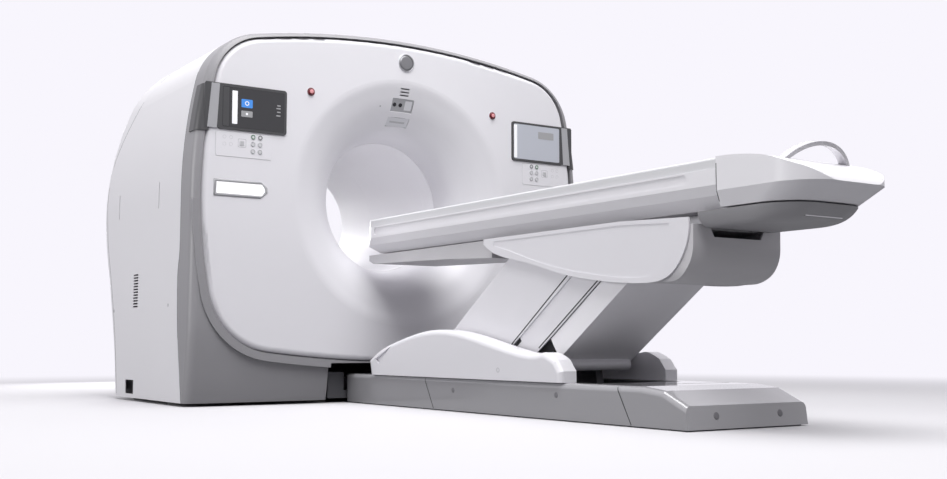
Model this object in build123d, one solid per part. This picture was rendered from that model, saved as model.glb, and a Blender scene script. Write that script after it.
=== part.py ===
from build123d import *
import math
import os

# A computed tomography scanner: ring gantry with a deep bore, and a patient table.
# Row frame: +X to the right facing the bore, +Y into the bore from the table side, +Z up.
# The origin is on the floor, straight below the bore axis in the scan plane.

# gantry sizes
bore_r = 350             # patient bore radius
bore_z = 1039            # height of the bore axis
face_y = -342            # front cover plane, ahead of the scan plane
window_width = 109       # scan window ring, centred on the scan plane
liner_split_y = 684      # joint between the two bore liners
liner_end_y = 1056       # rear end of the bore tube
body_half = 1160         # half width of the gantry body
body_gap = 16            # shadow gap between the floor and the covers
cover_half = 1115        # half width of the front cover at its widest
cover_top = 1873
cover_low = 208
top_arc_r = 4400         # the four gentle arcs of the front cover's outline
side_arc_r = 2550
low_arc_r = 6000
top_corner_r = 270
low_corner_r = 350
trim_step = 45           # the body's sides stand this far outside the cover's edge
crown_step = 30          # and its crown this far
trim_slot = 6            # dark gap between the cover and its grey trim
rim_depth = 34           # how far the cover's edge turns back
bead_rise = 8            # rise of the trim's lower part before the skirt
rim_r = 26
skin = 5                 # wall of every moulded cover
seam = 0.8               # joint between neighbouring covers
seat = 0.3               # clearance where one piece rests on another
front_corner_r = 40
rear_corner_r = 95
skirt_half = 430         # half width of the table's opening in the skirt

# controls on the front cover
plate_in = 688           # inner edge of the display, from the centre line
plate_low = 1322
plate_high = 1544
plate_depth = 34
keypad_low = 1192
key_pitch_x = 37
key_pitch_z = 35
key_x = 843              # centre of the ring keys' block
key_z = 1262
key_r = 12
key_travel_gap = 0.4
square_key_x = 918
square_key = 22
stop_x = 555
stop_z = 1559
stop_r = 15
light_low = 1006
light_high = 1074
light_in = 790

# patient table sizes
beam_low = 757           # underside of the sliding beam
beam_top = 927
beam_half = 232
beam_keel_half = 172
head_y = -262            # head end of the beam
foot_y = -2800           # seam between the beam and the foot pod
pod_end_y = -3200        # far end of the foot pod
pod_low_half = 212       # half width of the pod at the seam under it
pod_low_end_y = -3104    # far end of that seam
shell_gap = 6            # gap between the sliding cradle and the fixed lower shell
under_pod_low = 698      # lowest face of the lower shell
rail_end_y = -3060       # foot end of the support rail
roll_r = 24              # rolled foot of the rear leg cover
rail_half = 92
housing_top = 711
housing_end_y = -2678
housing_nose_y = -1402
leg_half = 203           # half width of the middle leg cover
shingle = 6              # sideways step from one leg cover to the next
housing_clear = 5        # running clearance of the leg covers in the lift housing
fairing_wall = 7
foot_clear = 5           # clearance between the lift housing and the foot fairings
foot_outer = 312
base_half = 300
base_top = 146
base_end_y = -2717
base_front_y = -262
base_lift = 5            # the base covers hang this far above the floor

# lifting leg: two equal links with parallel motion
pivot_z = 216
front_pivot_y = -1062
middle_pivot_y = -1576
rear_pivot_y = -1762
link_run = 580           # horizontal and vertical reach of a link at rest
link_rise = 400
link_len = math.hypot(link_run, link_rise)
pin_r = 18
pin_gap = 0.3

nodes = {}


def poly(*points):
    return make_face(Polyline(*points, close=True))


def slab(face, x0, x1):
    """A profile drawn in Y and Z, given thickness from x0 to x1."""
    return Pos(x0, 0, 0) * extrude(Plane.YZ * face, amount=x1 - x0)


def plate(face, y0, y1):
    """A profile drawn in X and Z, given thickness from y0 to y1."""
    return Pos(0, y1, 0) * extrude(Plane.XZ * face, amount=y1 - y0)


def turned(face):
    """A profile drawn as radius and Y, turned about the bore axis."""
    return Pos(0, 0, bore_z) * revolve(face, Axis.Y)


def ring(r0, r1, y0, y1):
    return turned(poly((r0, y0), (r1, y0), (r1, y1), (r0, y1)))


def block(x0, x1, y0, y1, z0, z1):
    return Pos((x0 + x1) / 2, (y0 + y1) / 2, (z0 + z1) / 2) * Box(x1 - x0, y1 - y0, z1 - z0)


def box_xz(x0, x1, z0, z1, r=0):
    face = Pos((x0 + x1) / 2, (z0 + z1) / 2) * Rectangle(x1 - x0, z1 - z0)
    return fillet(face.vertices(), r) if r else face


def rod_x(r, y, z, x0, x1):
    return Pos((x0 + x1) / 2, y, z) * Rot(0, 90, 0) * Cylinder(r, x1 - x0)


def rod_y(r, x, z, y0, y1):
    return Pos(x, (y0 + y1) / 2, z) * Rot(90, 0, 0) * Cylinder(r, y1 - y0)


def mirrored(solid):
    return mirror(solid, about=Plane.YZ)


def cover_outline(grow=0, crown=None):
    """The front cover's outline: four gentle arcs with rounded corners."""
    middle_z = bore_z - 18
    crown = grow if crown is None else crown
    face = Pos(0, cover_top - top_arc_r) * Circle(top_arc_r + crown)
    face &= Pos(0, cover_low + low_arc_r) * Circle(low_arc_r + grow)
    face &= Pos(cover_half - side_arc_r, middle_z) * Circle(side_arc_r + grow)
    face &= Pos(side_arc_r - cover_half, middle_z) * Circle(side_arc_r + grow)
    corners = face.vertices().sort_by(Axis.Y)
    face = fillet(corners[-2:], top_corner_r + grow)
    corners = face.vertices().sort_by(Axis.Y)
    return fillet(corners[:2], low_corner_r + grow)


def body_outline(inset=0):
    """The body seen from the front: the cover's outline stepped out, with straight sides below."""
    middle_z = bore_z - 18
    low = body_gap - (60 if inset else 0)
    half = cover_half + trim_step - inset
    lower = box_xz(-half, half, low, middle_z)
    return cover_outline(trim_step - inset, crown_step - inset) + lower


def body_profile(inset=0):
    """The body seen from the side: upright front, leaning skirt and a bowed back."""
    i = inset
    front = face_y + i
    low = body_gap - (60 if inset else 0)
    top = cover_top + crown_step + 20 - i
    crown = Line((front, 1500), (front, top)) + Line((front, top), (250, top))
    back = Spline(
        (250, top), (706 - 0.7 * i, 1760 - 0.7 * i), (917 - 0.85 * i, 1560 - 0.5 * i),
        (1044 - i, 1330), (1110 - i, 1000), (1082 - i, 830), (995 - i, 597), (905 - i, 317),
        (847 - i, low), tangents=((1, 0), (-0.15, -1)))
    toe = front + 50 + 0.25 * (body_gap - low)
    sill = Line((847 - i, low), (toe, low))
    lean = Spline((toe, low), (front + 18, 200), (front, 420), tangents=((-0.25, 1), (0, 1)))
    return make_face(crown + back + sill + lean + Line((front, 420), (front, 1500)))


def body_solid(inset=0):
    """The gantry's outer form, with its front and rear corners rounded."""
    solid = plate(body_outline(inset), face_y + inset, 1200) & slab(body_profile(inset), -1300, 1300)
    rims = [e for e in solid.edges() if e.center().Y < face_y + 80 and e.bounding_box().size.Y < 80
            and e.center().Z > 30 and e.bounding_box().size.X < 2000]
    solid = fillet(rims, front_corner_r - inset)
    rims = [e for e in solid.edges() if e.geom_type == GeomType.BSPLINE and e.center().Y > 300
            and e.bounding_box().size.Z > 40 and e.bounding_box().size.Y > 30]
    return fillet(rims, rear_corner_r - inset)


def wall_behind(curve, thickness, steps=14):
    """A strip of even thickness on the outer side of a curve drawn as radius and Y."""
    points, out = [], []
    for i in range(steps + 1):
        p, t = curve @ (i / steps), curve % (i / steps)
        points.append((p.X, p.Y))
        out.append((p.X + t.Y * thickness, p.Y - t.X * thickness))
    near, far = Spline(*points), Spline(*out)
    return make_face(near + far + Line(points[0], out[0]) + Line(points[-1], out[-1]))


def on_curve(curve, radius):
    """The place and direction on the funnel at a height above the bore axis."""
    low, high = 0.0, 1.0
    for _ in range(40):
        mid = (low + high) / 2
        if (curve @ mid).X > radius:
            low = mid
        else:
            high = mid
    p, t = curve @ low, curve % low
    angle = math.degrees(math.atan2(t.Y, -t.X))
    return Pos(0, p.Y, bore_z + p.X) * Rot(-angle, 0, 0)


outer_body = body_solid(0)
inner_body = body_solid(skin)
shell = outer_body - inner_body

# seams of the covers, drawn in Y and Z
front_seam = Spline((-250, -50), (-186, 300), (-166, 520), tangents=((0.1, 1), (0, 1)))
front_seam += Line((-166, 520), (-166, 640))
front_seam += Spline((-166, 640), (-187, 760), tangents=((0, 1), (0, 1)))
front_seam += Line((-187, 760), (-187, 2000))
ahead = make_face(front_seam + Polyline((-187, 2000), (-600, 2000), (-600, -50), (-250, -50)))
rear_seam = Spline((752, -50), (801, 317), (882, 593), (983, 879), (1005, 1108), (948, 1301),
                   (813, 1452), (648, 1593), (430, 1760), (190, 1960))
behind = make_face(rear_seam + Polyline((190, 1960), (1400, 1960), (1400, -50), (752, -50)))
ahead_zone = slab(ahead, -1300, 1300)
behind_zone = slab(behind, -1300, 1300)

# funnel of the front cover: radius against depth
throat_y = -window_width / 2 - seam
funnel = Spline((650, face_y), (588, face_y + 13), (514, face_y + 41), (438, face_y + 95),
                (bore_r + 2, throat_y), tangents=((-1, 0), (-0.12, 1)))
funnel_wall = turned(wall_behind(funnel, skin))

# front cover: flat field, rounded edge that turns back, and the funnel in one moulding
field = plate(cover_outline(), face_y, face_y + rim_depth)
field = fillet(field.faces().sort_by(Axis.Y)[0].edges(), rim_r)
hollow = plate(cover_outline(-skin), face_y + skin, face_y + rim_depth + 1)
hollow = fillet(hollow.faces().sort_by(Axis.Y)[0].edges(), rim_r - skin)
mouth = ring(0, 649, face_y - 1, face_y + rim_depth)
front_cover = field - hollow - mouth + (funnel_wall - ring(0, bore_r, face_y, 0))

# front frame: grey trim round the cover, the skirt below and the opening for the table
front_frame = shell & ahead_zone
front_frame -= plate(cover_outline(trim_slot), face_y - 10, face_y + 60)
back_y = face_y + rim_depth + seat
band = plate(cover_outline(trim_slot + skin), face_y + 1, back_y + skin)
band -= plate(cover_outline(trim_slot), face_y, back_y)
band -= plate(cover_outline(-14), face_y, back_y + 40)
front_frame += band & outer_body
bead = plate(cover_outline(trim_step) - cover_outline(trim_slot), face_y - bead_rise, face_y + 30)
bead &= slab(poly((face_y + 30, 100), (face_y - bead_rise, 100), (face_y - bead_rise, 500),
                  (face_y + 1, 980), (face_y + 30, 980)), -1300, 1300)
front_frame += bead
front_frame -= block(-skirt_half, skirt_half, face_y - 50, 0, 0, cover_low - trim_slot - 2)

# side covers run from the frame over the shoulder to the centre line, rear cover closes the back
middle = shell - Pos(0, seam, 0) * ahead_zone - Pos(0, -seam, 0) * behind_zone
side_cover_left = middle & block(-1300, -seam / 2, -600, 1400, 0, 2000)
slit_z = 1042
side_cover_left -= block(-1170, -1140, 779, 787, slit_z - 66, slit_z + 66)
side_cover_left -= block(-1170, -1140, 129, 137, slit_z - 66, slit_z + 66)
for i in range(12):
    z = 486 + 15 * i
    side_cover_left -= block(-1170, -1140, 428, 505, z, z + 8)
cable_port = block(-1170, -1140, 468, 604, 36, 108)
side_cover_left -= cable_port
side_cover_right = middle & block(seam / 2, 1300, -600, 1400, 0, 2000)
side_cover_right -= block(1140, 1170, 779, 787, slit_z - 66, slit_z + 66)
side_cover_right -= block(1140, 1170, 129, 137, slit_z - 66, slit_z + 66)

# rear cover with its own shallower funnel
rim_y = 1160
flare = Spline((620, rim_y), (540, rim_y - 12), (440, rim_y - 44), (bore_r + 2, liner_end_y + seam + 0.35 * skin),
               tangents=((-1, 0), (-0.35, -1)))
boss = turned(wall_behind(flare, -skin))
boss += turned(poly((616, rim_y - skin), (616, rim_y), (622, rim_y), (641, rim_y - 16), (690, 600),
                    (690 - skin, 600), (636, rim_y - 18), (620, rim_y - skin)))
rear_opening = turned(poly((0, 600), (688 - skin, 600), (638, rim_y - 18), (638, 1300), (0, 1300)))
rear_cover = (shell & behind_zone) - rear_opening
rear_cover += boss - ring(625, 800, 500, 1200).intersect(inner_body)

# controls on the front cover, made for the left and mirrored to the right
display_z = (plate_low + plate_high) / 2
recess = fillet(box_xz(-1046, -plate_in, plate_low, plate_high).vertices(), 14)
display = plate(recess, face_y - 7, face_y + plate_depth)
bridge = box_xz(-1108, -plate_in - 330, plate_low + 4, plate_high)
wing = body_solid(-6) - body_solid(-seat)
wing &= block(-1300, -1090, face_y - 60, face_y + 96, plate_low - 14, plate_high - 6)
display_left = (display + wing
                + plate(bridge, face_y - 7, face_y - seat)
                + plate(box_xz(-1112, -1090, plate_low + 4, plate_high - 6), face_y - 7, face_y - seat))
glass = fillet(box_xz(-1022, -plate_in - 12, plate_low + 12, plate_high - 12).vertices(), 8)
display_left -= plate(glass, face_y - 20, face_y - 3)
screen_left = plate(offset(glass, -seat), face_y - 7.5, face_y - 3 - seat)

pad = fillet(box_xz(-1052, -762, keypad_low, plate_low - 10).vertices(), 10)
keypad_left = plate(pad, face_y - 1.5, face_y + 10)
key_places = [(f"key_{row}{side}", -key_x + dx, key_z + row_z)
              for row, row_z in zip("abc", (key_pitch_z, 0, -key_pitch_z))
              for side, dx in ((1, -key_pitch_x / 2), (2, key_pitch_x / 2))]
keys_left = {}
for name, x, z in key_places:
    keypad_left -= rod_y(key_r + key_travel_gap, x, z, face_y - 20, face_y + 40)
    keys_left[name] = rod_y(key_r, x, z, face_y - 4, face_y + 8)
square_hole = box_xz(-square_key_x - square_key / 2, -square_key_x + square_key / 2,
                     key_z - square_key / 2, key_z + square_key / 2, 3)
keypad_left -= plate(offset(square_hole, key_travel_gap), face_y - 20, face_y + 40)
keys_left["key_menu"] = plate(square_hole, face_y - 4, face_y + 8)

lamp = box_xz(-1050, -light_in, light_low, light_high)
lamp = chamfer(lamp.vertices().sort_by(Axis.X)[-2:], 24)
lamp = fillet(lamp.vertices(), 9)
light_left = plate(lamp, face_y - 2, face_y + 14)

stop_hole = rod_y(stop_r + 0.4, -stop_x, stop_z, face_y - 40, face_y + 40)
collar = rod_y(stop_r + 6, -stop_x, stop_z, face_y - 3, face_y + skin)
stop_left = rod_y(stop_r, -stop_x, stop_z, face_y - 12, face_y + 8)
stop_left = fillet(stop_left.faces().sort_by(Axis.Y)[0].edges(), 3)

for side in (lambda s: s, mirrored):
    front_cover -= side(plate(offset(recess, seam), face_y - 20, face_y + 60))
    front_cover -= side(plate(offset(pad, seam), face_y - 20, face_y + 60))
    front_cover -= side(plate(offset(lamp, seam), face_y - 20, face_y + 60))
    front_cover += side(collar)
    front_cover -= side(stop_hole)

# windows on the funnel above the bore: sensor window, laser window, grille and a plain round disc
sensor_at = on_curve(funnel, 517)
laser_at = on_curve(funnel, 438)
grille_at = on_curve(funnel, 588)
sensor_window = Rot(90, 0, 0) * extrude(fillet(Rectangle(130, 54).vertices(), 6), amount=4, both=True)
laser_window = Rot(90, 0, 0) * extrude(fillet(Rectangle(130, 36).vertices(), 6), amount=4, both=True)
front_cover -= sensor_at * (Rot(90, 0, 0) * extrude(
    offset(fillet(Rectangle(130, 54).vertices(), 6), seam), amount=30, both=True))
front_cover -= laser_at * (Rot(90, 0, 0) * extrude(
    offset(fillet(Rectangle(130, 36).vertices(), 6), seam), amount=30, both=True))
for i in (-1, 0, 1):
    front_cover -= grille_at * Pos(0, 0, 14 * i) * Box(54, 60, 7)
front_cover += rod_y(48, 0, cover_top - 92, face_y - 4, face_y + 2)

# bore lining
scan_window = ring(bore_r, bore_r + 4, -window_width / 2, window_width / 2)
bore_liner = ring(bore_r, bore_r + skin, window_width / 2 + seam, liner_split_y - seam)
rear_liner = ring(bore_r, bore_r + skin, liner_split_y, liner_end_y)

# rotating side of the gantry
hub_r = 600
rotor_back = 250
rotor = ring(430, 780, 80, 110) + ring(520, hub_r - seat, 100, rotor_back)
for i in range(12):
    a = math.radians(30 * i + 15)
    rotor -= rod_y(26, 470 * math.cos(a), bore_z + 470 * math.sin(a), 0, 130)
tube_z = bore_z + 640
xray_tube = fillet(rod_y(92, 0, tube_z, -150, 60).edges(), 10)
xray_tube += block(-60, 60, -45, 45, tube_z - 120, tube_z - 60)
xray_tube += block(-95, 95, 60, 80, tube_z - 90, tube_z + 90)
arc = ring(520, 640, -70, 70) & plate(
    poly((0, bore_z), (-700, bore_z - 1100), (700, bore_z - 1100)), -70, 70)
detector_arc = arc + block(-150, 150, 60, 80, bore_z - 700, bore_z - 560)
generator = fillet(block(-730, -520, -150, 60, bore_z - 150, bore_z + 150).edges(), 12)
generator += block(-700, -560, 60, 80, bore_z - 110, bore_z + 110)

# standing frame: floor frame with feet, uprights with the bearing ring, and the rear detector's saddle
frame_half = 1120
frame_top = 120
frame_front = -84
frame_back = 745
anchor_x = 1040
anchor_front = 60
anchor_back = 600
anchor_r = 9
foot_r = 70
wall_in = cover_half + trim_step - skin - seat      # the covers' inner face, less the seat
gantry_frame = block(-frame_half, frame_half, frame_front, frame_front + 110, body_gap, frame_top)
gantry_frame += block(-frame_half, frame_half, frame_back - 110, frame_back, body_gap, frame_top)
gantry_frame += block(-700, 700, 120, 290, body_gap, frame_top)
gantry_frame += Pos(0, frame_front + 70, (body_gap + 4) / 2) * Cylinder(60, body_gap + 4)
upright = poly((-1000, frame_top - 5), (-640, frame_top - 5), (-700, bore_z), (-860, bore_z + 60),
               (-900, bore_z))
saddle = poly((-560, frame_top - 5), (560, frame_top - 5), (480, bore_z - 380), (-480, bore_z - 380))
for side in (lambda s: s, mirrored):
    gantry_frame += side(block(-frame_half, -frame_half + 160, frame_front, frame_back,
                               body_gap, frame_top))
    gantry_frame += side(plate(upright, 150, 260))
    for y in (anchor_front, anchor_back):
        gantry_frame += side(Pos(-anchor_x, y, (body_gap + 4) / 2) * Cylinder(foot_r, body_gap + 4))
    # brackets that the covers stand against
    gantry_frame += side(block(-wall_in, -frame_half + 5, -225, -200, body_gap + 40, 330))
    gantry_frame += side(block(-frame_half - 4, -frame_half + 60, -225, frame_front + 5, body_gap, 100))
    gantry_frame += side(block(-wall_in, -frame_half + 5, 300, 340, body_gap + 10, frame_top))
    gantry_frame += side(block(-wall_in, -frame_half + 5, frame_back - 60, frame_back - 5,
                               body_gap + 40, 100))
gantry_frame += ring(hub_r, 800, 150, 260)
gantry_frame += plate(saddle, 740, 830)
gantry_frame += block(-560, 560, frame_back - 40, 820, body_gap + 20, frame_top)
gantry_frame -= ring(0, hub_r, 140, 280)
for side in (-1, 1):
    for y in (anchor_front, anchor_back):
        gantry_frame -= Pos(side * anchor_x, y, 60) * Cylinder(anchor_r, 300)
detector_in = 402
detector_out = 620
gantry_frame -= ring(0, detector_out + seat, 700, 1040)
detector_ring = ring(detector_in, detector_out, 720, 1020)

# patient table: steel chassis on the floor
chassis_half = 284
chassis_top = 12
docking_y = -256
lug_r = 32
arm_wide = 24
front_arm_x = 138
rear_arm_x = 104
lug_wide = 36


def lug(y, z, foot_z):
    """A plate that carries a pivot, drawn in Y and Z."""
    face = poly((y - 70, foot_z), (y + 70, foot_z), (y + lug_r, z), (y - lug_r, z))
    return face + Pos(y, z) * Circle(lug_r)


chassis = block(-chassis_half, chassis_half, base_end_y + 18, base_front_y, 0, chassis_top)
chassis += block(-400, 400, docking_y, frame_front - seat, body_gap + 6, 60)
chassis += block(-200, 200, base_front_y - 200, docking_y + 2, 0, 60)
for side in (lambda s: s, mirrored):
    chassis += side(fillet(block(-400, -306, docking_y, frame_front - seat, 24, 154).edges(), 5))
    chassis += side(slab(lug(front_pivot_y, pivot_z, 6), front_arm_x - seat - lug_wide, front_arm_x - seat))
    chassis += side(slab(lug(rear_pivot_y, pivot_z, 6), rear_arm_x - seat - lug_wide, rear_arm_x - seat))
    chassis += side(slab(lug(middle_pivot_y, pivot_z, 6), front_arm_x + 30, leg_half - 13))
    chassis += side(rod_x(pin_r, front_pivot_y, pivot_z, front_arm_x - 20, front_arm_x + arm_wide + 3))
    chassis += side(rod_x(pin_r, rear_pivot_y, pivot_z, rear_arm_x - 20, rear_arm_x + arm_wide + 3))
    chassis += side(rod_x(pin_r, middle_pivot_y, pivot_z, leg_half - 20, leg_half + 0.2))
    # spacers that carry the base covers
    for y in (-400, -980, -1180, -2300, -2460, -2600):
        chassis += side(block(-base_half + skin + seat, -chassis_half + 6, y - 20, y + 20, 0, 60))
anchor_table_x = 240
anchor_table_y = (-700, -2500)
for x in (-anchor_table_x, anchor_table_x):
    for y in anchor_table_y:
        chassis -= Pos(x, y, 6) * Cylinder(anchor_r, 40)

# base covers: one long form with a well for the leg, cut into three lengths
base_side = poly((base_front_y, base_lift), (base_end_y, base_lift), (base_end_y + 10, base_top - 60),
                 (base_end_y + 120, base_top - 12), (base_end_y + 230, base_top), (base_front_y, base_top))


def base_form(inset=0):
    face = offset(base_side, -inset, kind=Kind.INTERSECTION) if inset else base_side
    form = slab(face, -base_half + inset, base_half - inset)
    long = [e for e in form.edges() if e.center().Z > base_top - 75
            and abs(e.center().X) > base_half - 10 and e.bounding_box().size.X < 1]
    return fillet(long, 22 - inset)


covers = base_form() - base_form(skin) - Pos(0, 0, -60) * base_form(skin)
well = 215
covers -= block(-well, well, -2160, -960, 40, 200)
covers -= block(-base_half + skin, base_half - skin, base_front_y - 20, base_front_y + 20, 0, base_top - skin)
cuts = ((base_front_y + 10, base_front_y + 10), (-1026, -1113), (-2355, -2439),
        (base_end_y - 20, base_end_y - 20))
base_covers = []
for (t0, b0), (t1, b1) in zip(cuts, cuts[1:]):
    zone = poly((t0 - seam, base_top + 20), (t1, base_top + 20), (b1, -10), (b0 - seam, -10))
    base_covers.append(covers & slab(zone, -base_half - 10, base_half + 10))

# white fairings on the base, either side of the lifting leg
cavity = leg_half + shingle + housing_clear         # inner half width of the lift housing
core_half = cavity + fairing_wall
foot_inner = core_half + fairing_wall + seat + foot_clear
crest = Spline((-522, 218), (-600, 256), (-761, 304), (-1100, 358), (-1481, 320), (-1902, 259),
               (-2010, 234), tangents=((-0.9, 0.44), (-1, -0.5)))
fairing_side = make_face(crest + Polyline((-2010, 234), (-2046, 190), (-2046, base_top + seat),
                                          (-540, base_top + seat), (-522, 218)))
foot_fairing = slab(fairing_side, foot_inner, foot_outer)
edges = [e for e in foot_fairing.edges() if abs(e.center().X - foot_outer) < 1
         and e.center().Z > base_top + 5]
foot_fairing = fillet(edges, 24)
slot = poly((-742, 286), (-590, 222), (-622, 202))
foot_fairing -= slab(slot, foot_outer - 14, foot_outer + 10)

# lifting leg
reach = math.degrees(math.atan2(link_rise, link_run))


def along(y, u, v):
    """A point on a leg cover: u up the link, v square to it on the foot side."""
    a = math.radians(reach)
    return (y - u * math.cos(a) - v * math.sin(a), pivot_z + u * math.sin(a) - v * math.cos(a))


def strip(y, u0, u1, v0, v1):
    return poly(along(y, u0, v0), along(y, u1, v0), along(y, u1, v1), along(y, u0, v1))


def arm(y, x):
    bar = strip(y, 0, link_len, -36, 36)
    for u in (0, link_len):
        bar += Pos(*along(y, u, 0)) * Circle(36)
    solid = slab(bar, x, x + arm_wide)
    for u in (0, link_len):
        py, pz = along(y, u, 0)
        solid -= rod_x(pin_r + pin_gap, py, pz, x - 10, x + arm_wide + 10)
    return solid + mirrored(solid)


def tie(y, u, v, r, x):
    py, pz = along(y, u, v)
    return rod_x(r, py, pz, -x, x)


leg_arm_front = arm(front_pivot_y, front_arm_x) + tie(front_pivot_y, 360, 0, 28, front_arm_x + 2)
leg_arm_rear = arm(rear_pivot_y, rear_arm_x) + tie(rear_pivot_y, 360, 0, 28, rear_arm_x + 2)
strip_start = 100
strip_end = link_len + 28
front_half = leg_half + shingle
rear_half = leg_half - shingle
web_v = -76
leg_cover_front = slab(strip(front_pivot_y, strip_start, link_len - 64, web_v, web_v + skin),
                       -front_half, front_half)
flange = poly(*(along(front_pivot_y, u, v) for u, v in (
    (strip_start, web_v), (strip_end, web_v), (link_len + 340, 240), (420, 240), (190, 218),
    (strip_start, 100))))
leg_cover_rear = slab(strip(rear_pivot_y, 96, strip_end, 53, 58), -rear_half, rear_half)
leg_cover_rear += tie(rear_pivot_y, 92, 70, roll_r, rear_half - 22)
leg_cover_middle = tie(middle_pivot_y, 500, -23, 9, leg_half - 2)
skirt = strip(middle_pivot_y, 110, strip_end, -60, 65) + strip(middle_pivot_y, 0, 112, -34, 34)
skirt += Pos(middle_pivot_y, pivot_z) * Circle(34)
for side in (lambda s: s, mirrored):
    leg_cover_front += side(slab(flange, front_half - skin, front_half))
    leg_cover_front += side(slab(strip(front_pivot_y, 260, 520, web_v + 2, -36 - seat),
                                 front_arm_x, front_arm_x + arm_wide))
    leg_cover_rear += side(slab(strip(rear_pivot_y, 120, strip_end, -37, 58), rear_half - skin, rear_half))
    leg_cover_rear += side(slab(strip(rear_pivot_y, 260, 520, 36 + seat, 54),
                                rear_arm_x, rear_arm_x + arm_wide))
    leg_cover_middle += side(slab(skirt, leg_half - skin, leg_half))
leg_cover_middle -= rod_x(pin_r + pin_gap, middle_pivot_y, pivot_z, -300, 300)

# lift housing: a shell open underneath, with hangers for the links' upper pivots
core = poly((housing_nose_y, housing_top), (housing_end_y, housing_top), (housing_end_y + 4, 516),
            (-2424, 516), (-2200, 546), (-1956, 584), (-1520, 672), (housing_nose_y, 700))
low_corners = [v for v in core.vertices() if v.Y < 650 and v.X < -2500]
core = fillet(low_corners, 125)
section = box_xz(-core_half, core_half, 470, housing_top + 1)
section = fillet(section.vertices().sort_by(Axis.Y)[:2], 90)
split_y = -2350
tail = slab(core, -core_half, core_half) & plate(section, housing_end_y - 10, split_y)
lift_housing = slab(core, -core_half, core_half)
lift_housing -= block(-400, 400, housing_end_y - 10, split_y - 1, 400, 800)
lift_housing += tail
roof = housing_top - 10
inner = poly((housing_nose_y - 40, roof), (split_y, roof), (split_y, 400), (housing_nose_y - 40, 400))
tail_hollow = poly((-2300, roof), (housing_end_y + 8, roof), (housing_end_y + 12, 526),
                   (-2424, 526), (split_y - 22, 538), (-2300, 538))
tail_hollow = fillet([v for v in tail_hollow.vertices() if v.Y < 530 and v.X < -2500], 117)
tail_section = fillet(box_xz(-cavity, cavity, 477, roof).vertices().sort_by(Axis.Y)[:2], 83)
lift_housing -= slab(inner, -cavity, cavity)
lift_housing -= slab(tail_hollow, -cavity, cavity) & plate(tail_section, housing_end_y, -2290)
lift_housing -= plate(poly((-143, 713), (-118, 669), (118, 669), (143, 713)),
                      housing_end_y - 20, housing_end_y + 60)
nose = poly((-300, 750), (-300, 722), (-340, 706), (-1020, 688), (housing_nose_y - 60, 668),
            (housing_nose_y - 60, roof), (housing_nose_y - 60, housing_top), (housing_nose_y, 750))
head_arm = slab(nose, -190, 190) - block(-rail_half - seat, rail_half + seat, -2000, 0, housing_top, 800)
lift_housing += head_arm - block(-200, 200, -3000, housing_nose_y - 10, 600, roof)
for side in (lambda s: s, mirrored):
    for y, x in ((front_pivot_y, front_arm_x), (rear_pivot_y, rear_arm_x)):
        py, pz = along(y, link_len, 0)
        hanger = poly((py - 60, roof + 2), (py + 60, roof + 2), (py + lug_r, pz), (py - lug_r, pz))
        hanger += Pos(py, pz) * Circle(lug_r)
        lift_housing += side(slab(hanger, x - seat - lug_wide, x - seat))
        lift_housing += side(rod_x(pin_r, py, pz, x - 20, x + arm_wide + 3))

# white fairings on the housing's sides
wedge = Spline((housing_nose_y, 728), (-1440, 704), (-1700, 634), (-1956, 571), (-2200, 532),
               (-2424, 515), (-2560, 536), (-2640, 620), (-2663, 735))
wedge = make_face(wedge + Polyline((-2663, 735), (-2300, 750), (housing_nose_y, 750),
                                   (housing_nose_y, 728)))
side_fairing = slab(wedge, core_half + seat, core_half + fairing_wall + seat)
lens = Spline((-1480, 716), (-1720, 650), (-1956, 592), (-2200, 553), (-2400, 536), (-2500, 556),
              (-2556, 640), (-2566, 722), tangents=((-1, -0.2), (0, 1)))
lens = make_face(lens + Polyline((-2566, 722), (-2300, 735), (-1480, 735), (-1480, 716)))
side_fairing -= slab(lens, core_half + fairing_wall + seat - 2.5, core_half + fairing_wall + 20)

# support rail with the lower shell of the foot end
rail_low = housing_top + seat
support_rail = block(-rail_half, rail_half, rail_end_y, -330, rail_low, beam_low - seat)
def pod_plan(z, half, end_y, radius, start_y):
    """An outline of the foot end seen from above: square at the head side, rounded at the end."""
    face = Pos(0, (start_y + end_y) / 2) * Rectangle(2 * half, start_y - end_y)
    return Pos(0, 0, z) * fillet(face.vertices().sort_by(Axis.Y)[:2], radius)


pod_seam_z = beam_low - shell_gap
under_pod = loft([pod_plan(z, half, end_y, radius, -2690) for z, half, end_y, radius in (
    (pod_seam_z, pod_low_half, pod_low_end_y, 140), (724, 202, pod_low_end_y + 28, 130),
    (under_pod_low, 150, -2960, 100))])
under_pod -= block(-rail_half - seat, rail_half + seat, rail_end_y - seat, -2600, rail_low - seat, 800)

# sliding cradle: beam with a side groove, dished top, foot pod and handle
flute = fillet(poly((-2660, 846), (-420, 846), (-420, 882), (-2660, 882)).vertices(), 17)
keel = poly((-beam_keel_half, beam_low), (beam_keel_half, beam_low), (beam_half - 14, beam_low + 40),
            (beam_half, beam_low + 75), (beam_half, 888), (-beam_half, 888), (-beam_half, beam_low + 75),
            (-beam_half + 14, beam_low + 40))
head = poly((foot_y, beam_low - 10), (head_y - 145, beam_low - 10), (head_y - 60, 800), (head_y, 862),
            (head_y - 60, 960), (foot_y, 960))
plan = Pos(0, (foot_y + head_y) / 2) * Rectangle(2 * beam_half, head_y - foot_y)
plan = fillet(plan.vertices().sort_by(Axis.Y)[-2:], 150)
plan = Pos(0, 0, 700) * extrude(plan, amount=300)
cradle_beam = (plate(keel, foot_y, head_y) & slab(head, -300, 300)) & plan
for side in (lambda s: s, mirrored):
    cradle_beam -= side(slab(flute, beam_half - 4, beam_half + 10))
board = box_xz(-beam_half + 3, beam_half - 3, 888 + seat, beam_top)
board = fillet(board.vertices().sort_by(Axis.Y)[-2:], 10)
board -= Pos(0, beam_top + 860) * Circle(890)
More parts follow.
